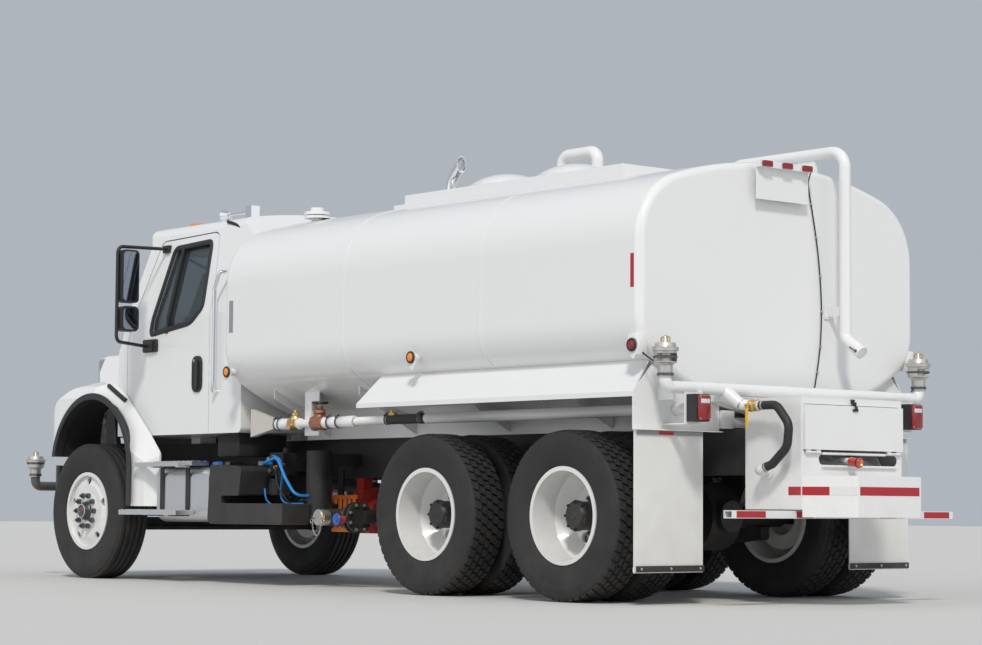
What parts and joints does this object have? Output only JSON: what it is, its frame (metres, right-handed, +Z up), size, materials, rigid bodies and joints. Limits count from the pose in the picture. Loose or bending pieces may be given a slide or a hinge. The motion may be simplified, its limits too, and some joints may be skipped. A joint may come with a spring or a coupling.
{
  "type": "water tanker truck",
  "caption": "Conventional cab truck with a long white oval water tank, spray bars at front and rear, hose cabinet, steered front wheels and twin rear wheels.",
  "frame": {"origin": "on the ground under the middle of the truck's bounding box", "axes": "+X towards the cab's front along the truck's length, +Y to its left side, +Z up"},
  "size_m": [8.2, 2.822, 3.3314],
  "materials": {
    "white_paint": "gloss",
    "frame_black": "satin",
    "tyre": "matt",
    "wheel_white": "gloss",
    "glass": "clear",
    "lamp_lens": "clear over silver",
    "marker_lens": "gloss",
    "grille_grey": "gloss",
    "bumper_grey": "satin",
    "cast_alloy": "cast",
    "polished_alloy": "brushed",
    "black_plastic": "fine grain",
    "interior": "matt",
    "chrome": "polished",
    "pump_red": "gloss",
    "black_rubber": "matt",
    "blue_hose": "gloss",
    "flap_white": "semi gloss",
    "engine_grey": "cast"
  },
  "bodies": {
    "chassis": {"water_tank": "white_paint", "tank_subframe": "white_paint", "tank_panels": "white_paint", "tank_walkway": "white_paint", "tank_fittings": "white_paint", "hose_cabinet": "white_paint", "rear_bumper": "white_paint", "rear_spray_bar": "white_paint", "side_pipework": "white_paint", "cab_shell": "white_paint", "frame_rails": "frame_black", "front_axle": "frame_black", "rear_axles": "frame_black", "rear_suspension": "frame_black", "suction_pipe": "frame_black", "powertrain": "engine_grey", "cab_glass": "glass", "lamps": "marker_lens", "front_bumper": "bumper_grey", "spray_heads": "cast_alloy", "air_valves": "cast_alloy", "fuel_tank": "polished_alloy", "cab_steps": "polished_alloy", "battery_box": "black_plastic", "cab_interior": "interior", "exhaust": "chrome", "chrome_trim": "chrome", "water_pump": "pump_red", "feed_hose": "black_rubber", "air_line": "blue_hose", "mud_flaps": "flap_white"},
    "hood": {"hood": "white_paint", "grille": "grille_grey", "headlamps": "lamp_lens"},
    "door_left": {"door_left": "white_paint", "door_glass_left": "glass", "mirror_left": "black_plastic"},
    "door_right": {"door_right": "white_paint", "door_glass_right": "glass", "mirror_right": "black_plastic"},
    "knuckle_left": {"knuckle_left": "frame_black"},
    "knuckle_right": {"knuckle_right": "frame_black"},
    "tie_rod": {"tie_rod": "frame_black"},
    "front_wheel_left": {"tyre_front_left": "tyre", "wheel_front_left": "wheel_white"},
    "front_wheel_right": {"tyre_front_right": "tyre", "wheel_front_right": "wheel_white"},
    "mid_wheels_left": {"tyres_mid_left": "tyre", "wheels_mid_left": "wheel_white"},
    "mid_wheels_right": {"tyres_mid_right": "tyre", "wheels_mid_right": "wheel_white"},
    "rear_wheels_left": {"tyres_rear_left": "tyre", "wheels_rear_left": "wheel_white"},
    "rear_wheels_right": {"tyres_rear_right": "tyre", "wheels_rear_right": "wheel_white"},
    "hatch_lid_front": {"hatch_lid_front": "white_paint"},
    "hatch_lid_rear": {"hatch_lid_rear": "white_paint"},
    "cabinet_door": {"cabinet_door": "white_paint"}
  },
  "joints": [
    {"name": "steer_left", "type": "hinge", "parent": "chassis", "child": "knuckle_left", "pos_m": [3.05, 0.88, 0.52], "axis": [0, 0, 1], "range_deg": [-40, 40]},
    {"name": "steer_right", "type": "hinge", "parent": "chassis", "child": "knuckle_right", "pos_m": [3.05, -0.88, 0.52], "axis": [0, 0, 1], "range_deg": [-40, 40]},
    {"name": "tie_rod_pivot", "type": "hinge", "parent": "knuckle_left", "child": "tie_rod", "pos_m": [2.86, 0.88, 0.395], "axis": [0, 0, 1], "range_deg": [-40, 40]},
    {"name": "front_spin_left", "type": "hinge", "parent": "knuckle_left", "child": "front_wheel_left", "pos_m": [3.05, 1.03, 0.52], "axis": [0, 1, 0], "continuous": true},
    {"name": "mid_spin_left", "type": "hinge", "parent": "chassis", "child": "mid_wheels_left", "pos_m": [-1.225, 0.91, 0.52], "axis": [0, 1, 0], "continuous": true},
    {"name": "rear_spin_left", "type": "hinge", "parent": "chassis", "child": "rear_wheels_left", "pos_m": [-2.555, 0.91, 0.52], "axis": [0, 1, 0], "continuous": true},
    {"name": "front_spin_right", "type": "hinge", "parent": "knuckle_right", "child": "front_wheel_right", "pos_m": [3.05, -1.03, 0.52], "axis": [0, 1, 0], "continuous": true},
    {"name": "mid_spin_right", "type": "hinge", "parent": "chassis", "child": "mid_wheels_right", "pos_m": [-1.225, -0.91, 0.52], "axis": [0, 1, 0], "continuous": true},
    {"name": "rear_spin_right", "type": "hinge", "parent": "chassis", "child": "rear_wheels_right", "pos_m": [-2.555, -0.91, 0.52], "axis": [0, 1, 0], "continuous": true},
    {"name": "hood_tilt", "type": "hinge", "parent": "chassis", "child": "hood", "pos_m": [3.766, 0, 0.842], "axis": [0, 1, 0], "range_deg": [0, 60]},
    {"name": "door_left_swing", "type": "hinge", "parent": "chassis", "child": "door_left", "pos_m": [2.684, 1.038, 1.8], "axis": [0, 0, -1], "range_deg": [0, 68]},
    {"name": "door_right_swing", "type": "hinge", "parent": "chassis", "child": "door_right", "pos_m": [2.684, -1.038, 1.8], "axis": [0, 0, 1], "range_deg": [0, 68]},
    {"name": "hatch_front_hinge", "type": "hinge", "parent": "chassis", "child": "hatch_lid_front", "pos_m": [-0.336, 0, 2.802], "axis": [0, 1, 0], "range_deg": [0, 100]},
    {"name": "hatch_rear_hinge", "type": "hinge", "parent": "chassis", "child": "hatch_lid_rear", "pos_m": [-1.046, 0, 2.802], "axis": [0, 1, 0], "range_deg": [0, 100]},
    {"name": "cabinet_door_hinge", "type": "hinge", "parent": "chassis", "child": "cabinet_door", "pos_m": [-3.834, 0.015, 0.904], "axis": [0, -1, 0], "range_deg": [0, 95]}
  ],
  "couplings": [
    {"joint": "steer_right", "follows": "steer_left", "ratio": 1},
    {"joint": "tie_rod_pivot", "follows": "steer_left", "ratio": -1}
  ]
}
